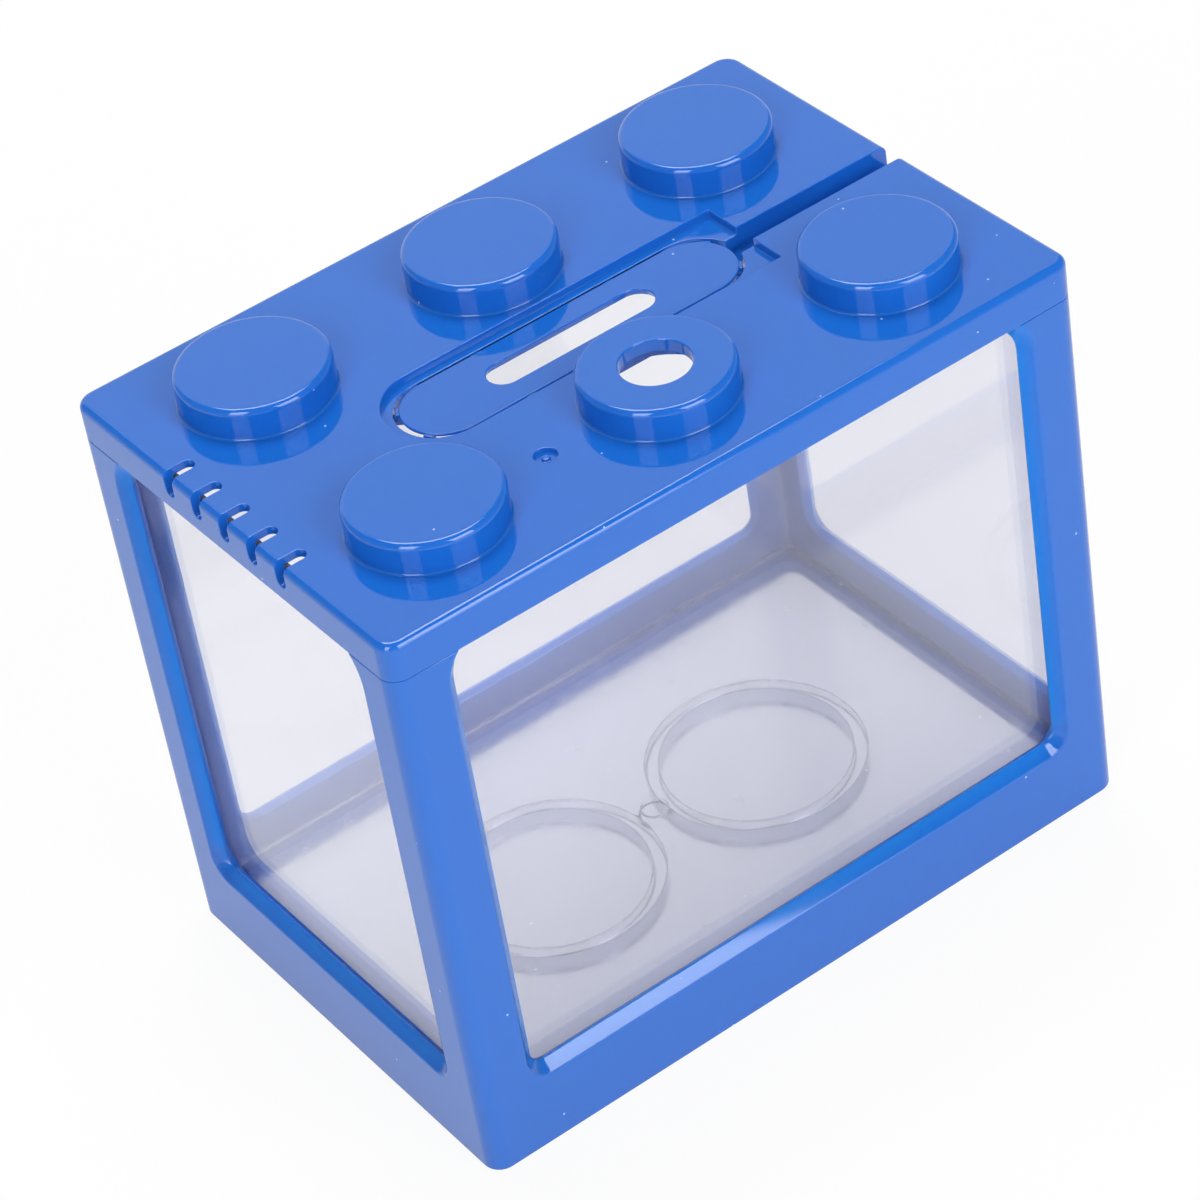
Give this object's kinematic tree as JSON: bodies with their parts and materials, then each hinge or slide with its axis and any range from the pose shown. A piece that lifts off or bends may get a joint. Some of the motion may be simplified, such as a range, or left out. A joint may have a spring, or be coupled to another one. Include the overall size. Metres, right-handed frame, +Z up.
{
  "type": "stacking mini fish tank",
  "caption": "Block-shaped mini fish tank: a clear box in an open frame, under a studded lid with a feed hole, vent notches and a slotted insert.",
  "frame": {"origin": "middle of the base, on the surface that the frame stands on", "axes": "+X along the long side, towards the end with the cable groove; -Y towards the front, the side of the stud with the feed hole; +Z up"},
  "size_m": [0.12, 0.08, 0.1054],
  "materials": {
    "blue_plastic": "gloss",
    "clear_plastic": "gloss"
  },
  "bodies": {
    "frame": {"frame": "blue_plastic"},
    "tank": {"tank": "clear_plastic"},
    "lid": {"lid": "blue_plastic"},
    "lid_insert": {"lid_insert": "blue_plastic"}
  },
  "joints": [
    {"name": "tank_lift", "type": "slide", "parent": "frame", "child": "tank", "axis": [0, 0, 1], "range_m": [0, 0.1]},
    {"name": "lid_lift", "type": "slide", "parent": "tank", "child": "lid", "axis": [0, 0, 1], "range_m": [0, 0.04]},
    {"name": "insert_lift", "type": "slide", "parent": "lid", "child": "lid_insert", "axis": [0, 0, 1], "range_m": [0, 0.015]}
  ]
}
